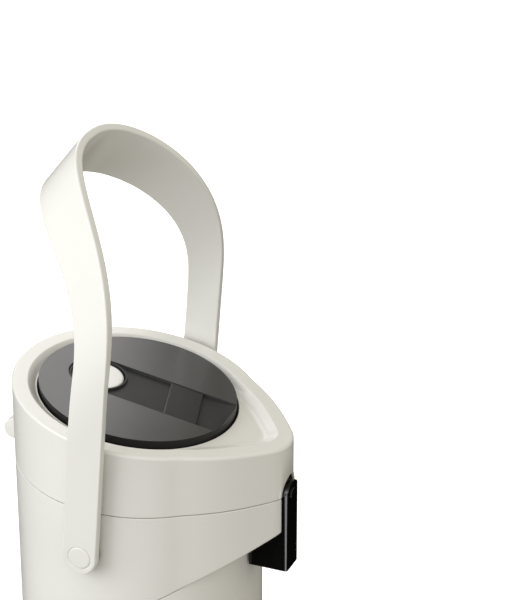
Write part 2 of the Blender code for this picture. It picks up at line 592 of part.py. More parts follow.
def make_plate():
    under = (PLATE[0] - PLATE_THICK, PLATE[1])
    plate = prism("push_plate", circle(PLATE_R, steps=FACETS), under, PLATE, CHARCOAL)
    skirt = prism("plate_skirt", circle(SKIRT_R, steps=FACETS), (SKIRT_BOTTOM, 0), (PLATE[0] - 3, PLATE[1]))
    cut(skirt, prism("skirt_bore", circle(SKIRT_BORE_R, steps=FACETS), (300, 0), under))
    boss = prism("button_boss", circle(BUTTON_BOSS_R, (0, BUTTON_Y)), (331, 0), (PLATE[0] - 5, PLATE[1]))
    join(plate, skirt, boss)
    channel = arc(CHANNEL_HALF, 0, math.pi, 20, (0, BUTTON_Y))
    channel += [(-CHANNEL_HALF, RAMP_Y), (CHANNEL_HALF, RAMP_Y)]
    ramp_slope = (CHANNEL_DEPTH - GAP) / (RAMP_Y + PLATE_R)
    ramp_floor = (PLATE[0] - CHANNEL_DEPTH + ramp_slope * RAMP_Y, PLATE[1] - ramp_slope)
    ramp = [(-CHANNEL_HALF, RAMP_Y + 0.5), (-CHANNEL_HALF, -70),
            (CHANNEL_HALF, -70), (CHANNEL_HALF, RAMP_Y + 0.5)]
    cut(plate, prism("channel", channel, (PLATE[0] - CHANNEL_DEPTH, PLATE[1]), (400, 0)),
        prism("scoop", ramp, ramp_floor, (400, 0)))
    join(plate, prism("button_bezel", circle(BEZEL_R, (0, BUTTON_Y), 40),
                      (PLATE[0] - CHANNEL_DEPTH - 1, PLATE[1]), (PLATE[0] - BEZEL_DROP, PLATE[1])))
    cut(plate, prism("button_well", circle(BUTTON_WELL_R, (0, BUTTON_Y), 40),
                     (PLATE[0] - BUTTON_WELL_DEPTH, PLATE[1]), (400, 0)),
        rod("stem_bore", (0, BUTTON_Y, 320), "Z", 40, STEM_R + 0.4))
    carrier = turned("plate_carrier", [(0, 329.6), (57.5, 329.6), (57.5, 327), (0, 327)], INNER, closed=False)
    cut(carrier, rod("stem_room", (0, BUTTON_Y, 320), "Z", 20, 6))
    prism("lock_slider", LOCK_SLIDER, (PLATE[0] - CHANNEL_DEPTH + GAP, PLATE[1]),
          (PLATE[0] - GAP, PLATE[1]), CHARCOAL)
    button_top = PLATE[0] - BUTTON_DROP
    button = prism("vent_button", circle(BUTTON_R, (0, BUTTON_Y), 40), (button_top - BUTTON_THICK, PLATE[1]),
                   (button_top, PLATE[1]), WHITE)
    join(button, rod("button_stem", (0, BUTTON_Y, 332), "Z", 16, STEM_R))
    well_floor = height(PLATE, BUTTON_Y) - BUTTON_WELL_DEPTH
    button_under = height(PLATE, BUTTON_Y) - BUTTON_DROP - BUTTON_THICK
    coil("button_spring", 9, 0.45, well_floor + 0.9, button_under - 0.9, 2.5, (0, BUTTON_Y), SPRING, PLATE[1])


# ---------------------------------------------------------------- assembly

def place_joints():
    """An empty on each joint's axis, holding the pieces that move about it."""
    deck_screws = [f"deck_screw_{i}" for i in (1, 2, 3)]
    lid_screws = [f"lid_screw_{i}" for i in (1, 2, 3)]
    carried = {
        "swivel_axis": ((0, 0, 9), [
            "base_cap", "body_shell", "flask_cushion", "vacuum_jacket", "inner_flask", "collar", "neck_deck",
            "neck_clamp", "mouth_gasket", "flask_stopper", "dip_tube", "spout_pipe", "spout_nozzle",
            "spout_cover", "pivot_pin_left", "pivot_pin_right", "pivot_spacer_left", "pivot_spacer_right",
            "hinge_pin"] + deck_screws),
        "handle_axis": ((0, 0, PIVOT_Z), ["handle", "pivot_cap_left", "pivot_cap_right"]),
        "lid_axis": (HINGE, ["lid_shell", "lid_base", "bellows_cup", "air_seal", "air_valve", "bellows",
                             "bellows_spring"] + lid_screws),
        "plate_axis": ((0, 0, PLATE[0]), ["push_plate", "plate_carrier", "button_spring"]),
        "slider_axis": ((0, -31, height(PLATE, -31)), ["lock_slider"]),
        "button_axis": ((0, BUTTON_Y, height(PLATE, BUTTON_Y)), ["vent_button"]),
        "latch_axis": ((0, SPOUT_FRONT, LATCH_Z), ["lid_latch"]),
    }
    holders = {"handle_axis": "swivel_axis", "lid_axis": "swivel_axis", "plate_axis": "lid_axis",
               "slider_axis": "plate_axis", "button_axis": "plate_axis", "latch_axis": "swivel_axis"}
    empties = {}
    for name, (place, _) in carried.items():
        empties[name] = bpy.data.objects.new(name, None)
        empties[name].location = Vector(place) * MM
        PARTS.objects.link(empties[name])
    for name, holder in holders.items():
        empties[name].parent = empties[holder]
        empties[name].location -= Vector(carried[holder][0]) * MM
    bpy.context.view_layer.update()
    for name, (_, pieces) in carried.items():
        for piece in pieces:
            bpy.data.objects[piece].parent = empties[name]
            bpy.data.objects[piece].matrix_parent_inverse = empties[name].matrix_world.inverted()


def main():
    clear_scene()
    make_base()
    make_body()
    make_collar()
    make_stopper()
    make_spout()
    make_handle()
    make_lid()
    make_pump()
    make_plate()
    place_joints()
    for obj in PARTS.objects:
        if obj.type == "MESH":
            smooth(obj)


main()
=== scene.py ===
import json
import math

import bmesh
import bpy
import numpy as np
from mathutils import Matrix, Vector

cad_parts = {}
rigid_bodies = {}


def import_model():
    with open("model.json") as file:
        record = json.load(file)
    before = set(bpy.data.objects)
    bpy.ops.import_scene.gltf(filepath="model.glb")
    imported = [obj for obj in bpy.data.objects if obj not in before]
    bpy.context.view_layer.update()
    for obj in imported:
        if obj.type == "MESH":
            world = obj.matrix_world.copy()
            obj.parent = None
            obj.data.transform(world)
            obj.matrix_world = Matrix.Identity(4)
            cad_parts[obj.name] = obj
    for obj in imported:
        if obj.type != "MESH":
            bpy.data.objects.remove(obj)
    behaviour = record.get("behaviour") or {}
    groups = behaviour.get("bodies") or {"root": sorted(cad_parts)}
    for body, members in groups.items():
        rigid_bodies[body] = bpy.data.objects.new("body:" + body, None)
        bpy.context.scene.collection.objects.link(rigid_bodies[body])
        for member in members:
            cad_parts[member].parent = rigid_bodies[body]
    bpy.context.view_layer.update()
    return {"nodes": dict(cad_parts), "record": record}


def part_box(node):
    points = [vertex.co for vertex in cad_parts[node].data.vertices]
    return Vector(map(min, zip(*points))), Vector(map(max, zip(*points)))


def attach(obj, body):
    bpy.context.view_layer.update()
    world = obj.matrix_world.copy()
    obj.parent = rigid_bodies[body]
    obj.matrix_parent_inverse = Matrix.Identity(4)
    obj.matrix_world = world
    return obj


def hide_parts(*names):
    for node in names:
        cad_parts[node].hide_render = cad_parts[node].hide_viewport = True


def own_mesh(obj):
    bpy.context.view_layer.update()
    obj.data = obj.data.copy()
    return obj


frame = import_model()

# The model's lengths are in millimetres, in its own frame, and MM turns them into metres. The studio's
# lengths are in metres.
MM = 0.001


def node_box(name):
    """The lowest and highest corners of a CAD node, in millimetres."""
    low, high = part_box(name)
    return np.array(low) / MM, np.array(high) / MM


LID_LOW, LID_HIGH = node_box("lid_shell")
PLATE_LOW, PLATE_HIGH = node_box("push_plate")
SHELL_LOW, SHELL_HIGH = node_box("body_shell")
SPOUT_LOW, SPOUT_HIGH = node_box("spout_cover")
HANDLE_HIGH = node_box("handle")[1]
LATCH_LOW, LATCH_HIGH = node_box("lid_latch")
PIN_LOW, PIN_HIGH = node_box("hinge_pin")
CAP_LOW, CAP_HIGH = node_box("pivot_cap_right")
BUTTON_LOW, BUTTON_HIGH = node_box("vent_button")

# Driving sizes, from the frame where it holds them. A plane is its height at y = 0 and its slope along y.
OUTLINE_R = LID_HIGH[0]
NOSE_REACH = -LID_LOW[1]
NOSE_R = 26.3
BACK_END = math.radians(-40)
NOSE_START = math.radians(-53)
BODY_R = SHELL_HIGH[0]
WALL = 2.6
SEAM = (300.0, math.tan(math.radians(3.2)))
RIM = (346.8, math.tan(math.radians(9.3)))
PLATE = (348.3, math.tan(math.radians(9.3)))
COLLAR_EDGE = (216.0, -0.52)
SEAM_GAP = 0.7
WELL_R = 64.2
WELL_BOTTOM = 311
PLATE_R = PLATE_HIGH[0]
CHANNEL_HALF = 19.0
CHANNEL_DEPTH = 2.0
BUTTON_Y = (BUTTON_LOW[1] + BUTTON_HIGH[1]) / 2
BEZEL_R = 18.6
BEZEL_BORE = 17.3
KNUCKLE_R = 7.0
KNUCKLE_HALF = 6.8
KNUCKLE_END = PIN_HIGH[0] + 0.4
KNUCKLE_ROOM = 0.3
KNUCKLE_FILLET = 0.7
WEB_FRONT = 78.4
WEB_INSET = 0.3
WEB_EDGE = 0.6
PIVOT_Z = (CAP_LOW[2] + CAP_HIGH[2]) / 2
HINGE_Y = (PIN_LOW[1] + PIN_HIGH[1]) / 2
HINGE_Z = (PIN_LOW[2] + PIN_HIGH[2]) / 2
LATCH_R = 4.2
LATCH_Y = -106.0
LATCH_Z = LATCH_HIGH[2] - LATCH_R
SPOUT_HALF = 9.4
SPOUT_FRONT = SPOUT_LOW[1]
SPOUT_CORNER = 2.0
RECESS_HALF = 10.0
RECESS_Y = -98.0
ARCH_TOP = 307.5
TONGUE_TOP = 302.6

# Heights and depths that lie clear of what a cutting solid cuts.
CUT_LOW = 200
CUT_HIGH = 330
CUT_ABOVE = 400
CUT_FRONT = -118

BACK_STEPS = 120
CHEEK_STEPS = 24
NOSE_STEPS = 40


# ---------------------------------------------------------------- mesh helpers

def plane_z(plane, y, lift=0.0):
    return plane[0] + plane[1] * y + lift


def level(z):
    """The level plane at this height."""
    return z, 0


def arc(radius, start, end, steps, centre=(0, 0)):
    turns = np.linspace(start, end, steps + 1)
    return np.stack([centre[0] + radius * np.cos(turns), centre[1] + radius * np.sin(turns)], 1)


def circle(radius, steps, centre=(0, 0)):
    return arc(radius, 0, 2 * math.pi, steps, centre)[:-1]


def teardrop(inset=0.0):
    """The plan outline of the lid and collar, anticlockwise, moved inwards by inset."""
    back_r, nose_r = OUTLINE_R - inset, NOSE_R - inset
    nose_centre = (0, NOSE_R - NOSE_REACH)
    start = np.array([math.cos(BACK_END), math.sin(BACK_END)]) * back_r
    end = np.array([math.cos(NOSE_START), math.sin(NOSE_START)]) * nose_r + nose_centre
    span = np.linalg.norm(end - start)
    lead = np.array([math.sin(BACK_END), -math.cos(BACK_END)]) * span * 0.2
    tail = np.array([math.sin(NOSE_START), -math.cos(NOSE_START)]) * span * 0.6
    t = np.linspace(0, 1, CHEEK_STEPS + 1)[1:-1, None]
    right = ((1 - t) ** 3 * start + 3 * t * (1 - t) ** 2 * (start + lead)
             + 3 * t * t * (1 - t) * (end - tail) + t ** 3 * end)
    left = right * (-1, 1)
    back = arc(back_r, BACK_END, math.pi - BACK_END, BACK_STEPS)
    nose = arc(nose_r, -math.pi - NOSE_START, NOSE_START, NOSE_STEPS, nose_centre)
    return np.concatenate([back, left, nose, right[::-1]])


def circle_like(outline, radius):
    """The circle's points at the same bearings as the outline's points."""
    return outline / np.linalg.norm(outline, axis=1)[:, None] * radius


def ring(outline, plane, lift=0.0):
    """The outline's points at the height of a plane."""
    return np.column_stack([outline, plane_z(plane, outline[:, 1], lift)])


def filleted(corners, radii, steps, closed=True):
    """The rings of a profile whose corners are rounded. A corner is one ring of points."""
    rings, count = [], len(corners)
    for i, (corner, radius) in enumerate(zip(corners, radii)):
        if radius <= 0 or (not closed and i in (0, count - 1)):
            rings.append(corner)
            continue
        before, after = corners[i - 1], corners[(i + 1) % count]
        legs = []
        for other in (before, after):
            leg = other - corner
            length = np.maximum(np.linalg.norm(leg, axis=1), 1e-6)[:, None]
            legs.append(corner + leg * np.minimum(radius / length, 0.48))
        for t in np.linspace(0, 1, steps + 1):
            rings.append((1 - t) ** 2 * legs[0] + 2 * t * (1 - t) * corner + t * t * legs[1])
    return rings


def finish_mesh(name, bm, mat):
    bmesh.ops.remove_doubles(bm, verts=bm.verts, dist=2e-6)
    bmesh.ops.recalc_face_normals(bm, faces=bm.faces)
    mesh = bpy.data.meshes.new(name)
    bm.to_mesh(mesh)
    bm.free()
    mesh.shade_smooth()
    mesh.set_sharp_from_angle(angle=math.radians(35))
    obj = bpy.data.objects.new(name, mesh)
    bpy.context.scene.collection.objects.link(obj)
    if mat:
        mesh.materials.append(mat)
    return obj


def loft(name, rings, mat, closed=True, caps=False):
    """A skin over rings of points. closed joins the last ring to the first, and caps fills both."""
    bm = bmesh.new()
    rows = [[bm.verts.new(point) for point in np.asarray(points) * MM] for points in rings]
    for a, b in zip(rows, rows[1:] + rows[:1] if closed else rows[1:]):
        for i in range(len(a)):
            j = (i + 1) % len(a)
            bm.faces.new((a[i], a[j], b[j], b[i]))
    if caps:
        bm.faces.new(rows[0][::-1])
        bm.faces.new(rows[-1])
    return finish_mesh(name, bm, mat)


def prism(name, outline, low, high, mat=None):
    """A solid over a plan outline between two planes."""
    outline = np.asarray(outline, float)
    return loft(name, [ring(outline, low), ring(outline, high)], mat, closed=False, caps=True)


def panel(name, outline, y0, y1, mat=None):
    """A solid with this outline in XZ, from y0 to y1."""
    x, z = np.asarray(outline, float).T
    rings = [np.column_stack([x, np.full(len(x), y), z]) for y in (y0, y1)]
    return loft(name, rings, mat, closed=False, caps=True)


def turned(name, profile, mat, centre=(0, 0, 0), axis="Z", steps=96, fillet=0.0):
    """A turned solid from (radius, height) points along its axis, with rounded corners."""
    profile = [np.array([[r, 0.0, h]]) for r, h in profile]
    radii = [0 if point[0, 0] == 0 else fillet for point in profile]
    turns = np.linspace(0, 2 * math.pi, steps, endpoint=False)
    order = {"X": [2, 0, 1], "Y": [0, 2, 1], "Z": [0, 1, 2]}[axis]
    rings = []
    for radius, _, height in (point[0] for point in filleted(profile, radii, 4, closed=False)):
        points = np.column_stack([radius * np.cos(turns), radius * np.sin(turns), np.full(steps, height)])
        rings.append(points[:, order] + np.array(centre))
    return loft(name, rings, mat, closed=False)


def rod(radius, start, end):
    """The profile of a plain cylinder, for turned."""
    return [(0, start), (radius, start), (radius, end), (0, end)]


def boolean(obj, other, operation="DIFFERENCE"):
    """Applies a Boolean and removes the other solid."""
    modifier = obj.modifiers.new("Boolean", "BOOLEAN")
    modifier.operation = operation
    modifier.object = other
    apply_modifiers(obj)
    bpy.data.objects.remove(other, do_unlink=True)


def apply_modifiers(obj):
    bpy.context.view_layer.update()
    graph = bpy.context.evaluated_depsgraph_get()
    mesh = bpy.data.meshes.new_from_object(obj.evaluated_get(graph))
    old = obj.data
    obj.modifiers.clear()
    obj.data = mesh
    bpy.data.meshes.remove(old)


def soften(obj, width, angle=30):
    """Clears a Boolean's slivers, rounds the edges sharper than angle, and keeps the flats' shading flat."""
    bm = bmesh.new()
    bm.from_mesh(obj.data)
    bmesh.ops.remove_doubles(bm, verts=bm.verts, dist=0.05 * MM)
    bmesh.ops.dissolve_limit(bm, angle_limit=math.radians(0.5), verts=bm.verts, edges=bm.edges)
    bm.to_mesh(obj.data)
    bm.free()
    bevel = obj.modifiers.new("Bevel", "BEVEL")
    bevel.width = width * MM
    bevel.segments = 3
    bevel.limit_method = "ANGLE"
    bevel.angle_limit = math.radians(angle)
    apply_modifiers(obj)
    obj.data.shade_smooth()
    obj.data.set_sharp_from_angle(angle=math.radians(40))
    return weigh_normals(obj)


def weigh_normals(obj):
    """The large faces set the shading, so that a Boolean's cut leaves no streak on the wall round it."""
    obj.modifiers.new("Weighted", "WEIGHTED_NORMAL").keep_sharp = True
    return obj


def place(obj, body, slot, *nodes):
    """The piece rides on a body and stands for these CAD nodes. The slot is not used."""
    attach(obj, body)
    if nodes:
        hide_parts(*nodes)
    return obj


# ---------------------------------------------------------------- materials

class Nodes:
    """A material's node tree, with short ways to add and join nodes."""

    def __init__(self, name):
        self.material = bpy.data.materials.new(name)
        self.material.use_nodes = True
        self.tree = self.material.node_tree
        self.shader = self.tree.nodes["Principled BSDF"]
        self.place = self.tree.nodes.new("ShaderNodeTexCoord").outputs["Object"]

    def add(self, kind, **values):
        node = self.tree.nodes.new(kind)
        for key, value in values.items():
            if key in node.inputs:
                node.inputs[key].default_value = value
            else:
                setattr(node, key, value)
        return node

    def link(self, out, to):
        self.tree.links.new(out, to)

    def noise(self, scale, detail=3.0, stretch=(1, 1, 1)):
        mapping = self.add("ShaderNodeMapping")
        mapping.inputs["Scale"].default_value = stretch
        self.link(self.place, mapping.inputs["Vector"])
        noise = self.add("ShaderNodeTexNoise", Scale=scale, Detail=detail)
        self.link(mapping.outputs[0], noise.inputs["Vector"])
        return noise.outputs["Fac"]

    def spread(self, value, low, high):
        """Maps the middle of a noise's range onto low to high."""
        ramp = self.add("ShaderNodeMapRange")
        ramp.inputs["From Min"].default_value = 0.3
        ramp.inputs["From Max"].default_value = 0.7
        ramp.inputs["To Min"].default_value = low
        ramp.inputs["To Max"].default_value = high
        self.link(value, ramp.inputs["Value"])
        return ramp.outputs["Result"]

    def tint(self, value, dark, light):
        ramp = self.add("ShaderNodeValToRGB")
        ramp.color_ramp.elements[0].position = 0.35
        ramp.color_ramp.elements[1].position = 0.65
        ramp.color_ramp.elements[0].color = (*dark, 1)
        ramp.color_ramp.elements[1].color = (*light, 1)
        self.link(value, ramp.inputs["Fac"])
        self.link(ramp.outputs["Color"], self.shader.inputs["Base Color"])

    def bump(self, value, strength, distance):
        bump = self.add("ShaderNodeBump", Strength=strength, Distance=distance)
        self.link(value, bump.inputs["Height"])
        self.link(bump.outputs["Normal"], self.shader.inputs["Normal"])


def moulded(name, dark, light, rough, bump, grain=900.0, specular=0.5):
    """Moulded plastic: a faint shade variation, uneven gloss and the fine grain of the tool."""
    mat = Nodes(name)
    mat.tint(mat.noise(14.0), dark, light)
    mat.link(mat.spread(mat.noise(60.0, 4.0), *rough), mat.shader.inputs["Roughness"])
    mat.bump(mat.noise(grain, 2.0), bump, 0.0002)
    mat.shader.inputs["Specular IOR Level"].default_value = specular
    return mat.material


def metal(name, dark, light, rough, stretch):
    """Steel with drawn or turned marks running one way."""
    mat = Nodes(name)
    mat.tint(mat.noise(220.0, 4.0, stretch), dark, light)
    mat.link(mat.spread(mat.noise(400.0, 3.0, stretch), *rough), mat.shader.inputs["Roughness"])
    mat.bump(mat.noise(700.0, 3.0, stretch), 0.12, 0.0002)
    mat.shader.inputs["Metallic"].default_value = 1.0
    return mat.material


IVORY = moulded("ivory_plastic", (0.765, 0.76, 0.73), (0.785, 0.78, 0.75), (0.20, 0.27), 0.03)
CHARCOAL = moulded("charcoal_plastic", (0.038, 0.038, 0.039), (0.044, 0.044, 0.045), (0.285, 0.315), 0.02)
# A darker, less glossy copy of the charcoal: painted shade for the plate's recesses and the lock's tab.
PAINTED_SHADE_CHARCOAL = moulded("charcoal_painted_shade", (0.026, 0.026, 0.027), (0.030, 0.030, 0.031), (0.38, 0.44), 0.03,
                 specular=0.12)
# A still darker copy: painted shade on the plate's outer side, below its rim.
EDGE_PAINTED_SHADE = moulded("charcoal_edge_painted_shade", (0.012, 0.012, 0.012), (0.016, 0.016, 0.016), (0.30, 0.36), 0.02,
               specular=0.2)
BLACK = moulded("black_plastic", (0.003, 0.003, 0.003), (0.005, 0.005, 0.005), (0.05, 0.09), 0.01)
WHITE = moulded("white_plastic", (0.80, 0.80, 0.79), (0.84, 0.84, 0.83), (0.18, 0.25), 0.03)
INNER = moulded("inner_plastic", (0.33, 0.33, 0.33), (0.37, 0.37, 0.37), (0.42, 0.52), 0.15)
RUBBER = moulded("black_rubber", (0.022, 0.022, 0.022), (0.034, 0.034, 0.034), (0.70, 0.85), 0.3, grain=600.0)
SILICONE = moulded("silicone", (0.62, 0.62, 0.60), (0.70, 0.70, 0.68), (0.45, 0.60), 0.15, grain=500.0)
FLASK_STEEL = metal("flask_steel", (0.52, 0.52, 0.53), (0.64, 0.64, 0.65), (0.24, 0.36), (1, 1, 0.04))
SCREW_STEEL = metal("screw_steel", (0.42, 0.42, 0.43), (0.56, 0.56, 0.57), (0.22, 0.34), (1, 1, 1))


# ---------------------------------------------------------------- lid

def arch(half, bottom, top):
    """An arch outline in XZ, springing from the seam at the nose."""
    spring = plane_z(SEAM, -NOSE_REACH)
    turns = np.linspace(0, math.pi, 41)
    crown = np.column_stack([half * np.cos(turns), spring + (top - spring) * np.sin(turns)])
    return np.concatenate([[[-half, bottom], [half, bottom]], crown[crown[:, 1] > bottom + 0.1]])


def make_lid():
    rim_width, slope_run, depth, trough_rise = 10.2, 9.0, 4.4, 1.0
    tube, skin = 2.5, 3.2
    outer, under, edge = teardrop(), teardrop(WALL), teardrop(rim_width)
    well, tube_outer = circle_like(edge, WELL_R), circle_like(edge, WELL_R + tube)
    run = well - edge
    reach = np.linalg.norm(run, axis=1)[:, None]
    crease = edge + run * np.minimum(slope_run / reach, 0.8)
    # The corners of the lid's section with their fillets, from the outside over the trough to the well.
    section = [(ring(outer, SEAM, SEAM_GAP / 2), 0.4), (ring(outer, RIM), 2.2), (ring(edge, RIM), 0.7),
               (ring(crease, RIM, -depth), 4.0), (ring(well, RIM, -depth + trough_rise), 0.6),
               (ring(well, level(WELL_BOTTOM)), 0.4), (ring(tube_outer, level(WELL_BOTTOM)), 0.4),
               (ring(tube_outer, RIM, -depth - skin), 0.5), (ring(under, RIM, -depth - skin), 0.5),
               (ring(under, SEAM, SEAM_GAP / 2), 0.4)]
    lid = loft("lid_shell_fine", filleted(*zip(*section), 8), IVORY)
    # Room for the collar's two knuckles, one on each side of the lid's own.
    room_width = KNUCKLE_END - KNUCKLE_HALF + 0.2
    for side, start in (("left", -KNUCKLE_END - KNUCKLE_ROOM), ("right", KNUCKLE_HALF + 0.1)):
        boolean(lid, barrel("room_" + side, start, start + room_width, KNUCKLE_R + KNUCKLE_ROOM))
    # The nose is thickened from inside, and the spout cover's recess is cut into that.
    liner_half, liner_bottom, liner_top, liner_front = 12.5, 295.2, 310.2, -103
    liner = panel("liner", arch(liner_half, liner_bottom, liner_top), liner_front, RECESS_Y + 2)
    boolean(lid, liner, "UNION")
    recess_bottom = 270
    boolean(lid, panel("recess", arch(RECESS_HALF, recess_bottom, ARCH_TOP), CUT_FRONT, RECESS_Y))
    place(weigh_normals(lid), "lid", "ivory_plastic", "lid_shell")
    knuckle = barrel("lid_knuckle", -KNUCKLE_HALF, KNUCKLE_HALF, KNUCKLE_R, IVORY, KNUCKLE_FILLET)
    place(knuckle, "lid", "ivory_plastic")
    web_half = KNUCKLE_HALF - 0.4
    hinge_web("lid_hinge_web", "lid", -web_half, web_half, HINGE_Z - 1, HINGE_Z + KNUCKLE_R - WEB_INSET)


def hinge_web(name, body, x0, x1, z0, z1):
    """The block that ties a knuckle to the wall in front of it."""
    plan = [(x0, WEB_FRONT), (x1, WEB_FRONT), (x1, HINGE_Y), (x0, HINGE_Y)]
    web = prism(name, plan, level(z0), level(z1), IVORY)
    place(soften(web, WEB_EDGE), body, "ivory_plastic")


def barrel(name, x0, x1, radius, mat=None, fillet=0.0):
    """A cylinder on the hinge's axis."""
    return turned(name, rod(radius, x0, x1), mat, (0, HINGE_Y, HINGE_Z), "X", 64, fillet)


# ---------------------------------------------------------------- collar and body

def make_collar():
    outer, inner = teardrop(), teardrop(WALL)
    bore = circle_like(outer, OUTLINE_R - WALL)
    corners = [ring(inner, SEAM, -SEAM_GAP / 2), ring(outer, SEAM, -SEAM_GAP / 2), ring(outer, COLLAR_EDGE),
               ring(bore, COLLAR_EDGE), ring(bore, COLLAR_EDGE, WALL), ring(inner, COLLAR_EDGE, WALL)]
    collar = loft("collar_fine", filleted(corners, [0.4, 0.5, 1.4, 0.4, 0, 0], 6), IVORY)
    slot = [(-RECESS_HALF, CUT_LOW), (RECESS_HALF, CUT_LOW),
            (RECESS_HALF, CUT_HIGH), (-RECESS_HALF, CUT_HIGH)]
    boolean(collar, panel("slot", slot, CUT_FRONT, RECESS_Y))
    room_half = KNUCKLE_HALF + 0.4
    boolean(collar, barrel("room", -room_half, room_half, KNUCKLE_R + KNUCKLE_ROOM))
    place(weigh_normals(collar), "pot", "ivory_plastic", "collar")
    inner_end = KNUCKLE_HALF + KNUCKLE_ROOM
    for side, x0, x1 in (("left", -KNUCKLE_END, -inner_end), ("right", inner_end, KNUCKLE_END)):
        knuckle = barrel("collar_knuckle_" + side, x0, x1, KNUCKLE_R, IVORY, KNUCKLE_FILLET)
        place(knuckle, "pot", "ivory_plastic")
        hinge_web("collar_hinge_web_" + side, "pot", x0 + 0.4, x1 - 0.4,
                  HINGE_Z - KNUCKLE_R + WEB_INSET, HINGE_Z - 3)


def make_shell():
    thick, drop = 2, -0.3
    outer = circle(1.0, 192) * BODY_R
    inner = outer * (BODY_R - thick) / BODY_R
    bottom = level(SHELL_LOW[2])
    corners = [ring(outer, bottom), ring(outer, COLLAR_EDGE, drop), ring(inner, COLLAR_EDGE, drop),
               ring(inner, bottom)]
    shell = loft("body_shell_fine", filleted(corners, [0.8, 1.0, 0.3, 0.3], 5), IVORY)
    place(shell, "pot", "ivory_plastic", "body_shell")


# ---------------------------------------------------------------- spout

def rounded_plan(x_half, y0, y1, radius):
    """A rectangle whose two front corners are rounded."""
    steps = 8
    corners = [arc(radius, math.pi, 1.5 * math.pi, steps, (-x_half + radius, y0 + radius)),
               arc(radius, 1.5 * math.pi, 2 * math.pi, steps, (x_half - radius, y0 + radius)),
               [(x_half, y1), (-x_half, y1)]]
    return np.concatenate(corners)


def make_spout():
    """A glossy cover: a tower in the lid's recess, a tongue in front of it and a wing under the collar."""
    half, front, bottom, top = SPOUT_HALF, SPOUT_FRONT, level(SPOUT_LOW[2]), level(CUT_HIGH)
    tower_half, tower_front = RECESS_HALF - 0.3, -102.8
    crown_front, crown_back = -120, -80
    cover = prism("spout_cover_fine", rounded_plan(tower_half, tower_front, RECESS_Y - 0.8, 1),
                  (COLLAR_EDGE[0] + 2, COLLAR_EDGE[1]), top)
    crown = panel("crown", arch(tower_half, CUT_LOW, ARCH_TOP - 0.3), crown_front, crown_back)
    boolean(cover, crown, "INTERSECT")
    tongue = prism("tongue", rounded_plan(half, front, RECESS_Y - 1.5, SPOUT_CORNER), bottom, top)
    crown = panel("tongue_crown", arch(half + 0.1, CUT_LOW, TONGUE_TOP), crown_front, crown_back)
    boolean(tongue, crown, "INTERSECT")
    boolean(cover, tongue, "UNION")
    wing = prism("wing", rounded_plan(half, front, SPOUT_HIGH[1], SPOUT_CORNER), bottom,
                 (COLLAR_EDGE[0] - 0.4, COLLAR_EDGE[1]))
    boolean(cover, wing, "UNION")
    hollow_half, hollow_front, hollow_back, hollow_top = 6.8, -104.5, -84, 257
    hollow = prism("hollow", rounded_plan(hollow_half, hollow_front, hollow_back, 1.5),
                   level(CUT_LOW), level(hollow_top))
    boolean(cover, hollow)
    pocket_r, pocket_mouth, pocket_floor = LATCH_R + 0.4, -6, 4.4
    pocket = rod(pocket_r, pocket_mouth, pocket_floor)
    boolean(cover, turned("pocket", pocket, None, (0, LATCH_Y, LATCH_Z), "Y", 48))
    cover.data.materials.clear()
    cover.data.materials.append(BLACK)
    place(soften(cover, 0.45), "pot", "black_plastic", "spout_cover")
    make_latch()


def make_latch():
    """The round button in the spout cover, with a sloped rim, and its stem."""
    front, back = LATCH_LOW[1] - LATCH_Y, LATCH_HIGH[1] - LATCH_Y
    profile = [(0, front), (3.0, front), (LATCH_R, -1.2), (LATCH_R, 1.7), (0, 1.7)]
    latch = turned("lid_latch_fine", profile, BLACK, (0, LATCH_Y, LATCH_Z), "Y", 48, 0.3)
    place(latch, "latch", "black_plastic", "lid_latch")
    stem_r, stem_z = 1.7, LATCH_Z - 2.5
    stem = turned("latch_stem", rod(stem_r, 1.5, back), BLACK, (0, LATCH_Y, stem_z), "Y", 24, 0.2)
    place(stem, "latch", "black_plastic")


# ---------------------------------------------------------------- handle

STRAP = 5.5
STRAP_CORNER = 1.3
STRAP_STEPS = 160
FOOT_STEPS = 14
SEAT_R = 7.75
SEAT_DEPTH = 0.9
CAP_R = 7.5
ARM_LEAN = -0.081
LEAN_Z = 360.0
FRONT_EDGE = {"y": -18.4, "spring": 381.0, "rise": 138.0, "power": 2.27, "bend": 397.0, "sweep": 0.229}
BACK_EDGE = {"y": 5.0, "spring": 343.0, "rise": 142.5, "power": 2.45, "bend": 391.0, "sweep": 0.446}
SWEEP_POWER = 2.6
ARCH_SHARE = 0.75


def strap_edge(edge, t):
    """A point of one edge of the strap, for t from -1 (left arm's foot) over the top to 1."""
    side = math.copysign(1, t)
    if abs(t) > ARCH_SHARE:
        share = (1 - abs(t)) / (1 - ARCH_SHARE)
        x, z = HANDLE_HIGH[0], PIVOT_Z + (edge["spring"] - PIVOT_Z) * share
    else:
        a = abs(t) / ARCH_SHARE * math.pi / 2
        x = HANDLE_HIGH[0] * math.sin(a) ** (2 / edge["power"])
        z = edge["spring"] + edge["rise"] * max(0.0, math.cos(a)) ** (2 / edge["power"])
    sweep = edge["sweep"] / 1000 * max(0.0, z - edge["bend"]) ** SWEEP_POWER
    return np.array([side * x, edge["y"] + ARM_LEAN * (z - LEAN_Z) + sweep, z])


def strap_stations():
    """Pairs of a front and a back edge point, from the left arm's round foot to the right arm's."""
    arms = [(strap_edge(FRONT_EDGE, t), strap_edge(BACK_EDGE, t))
            for t in np.linspace(-1, 1, STRAP_STEPS + 1)]
    feet = []
    for front, back in (arms[0], arms[-1]):
        centre, half = (front + back) / 2, (back - front) / 2
        drop = np.array([0, 0, np.linalg.norm(half)])
        turns = np.radians(np.linspace(0, 86, FOOT_STEPS + 1))[1:]
        feet.append([(centre - half * math.cos(a) - drop * math.sin(a),
                      centre + half * math.cos(a) - drop * math.sin(a)) for a in turns])
    return feet[0][::-1] + arms + feet[1]


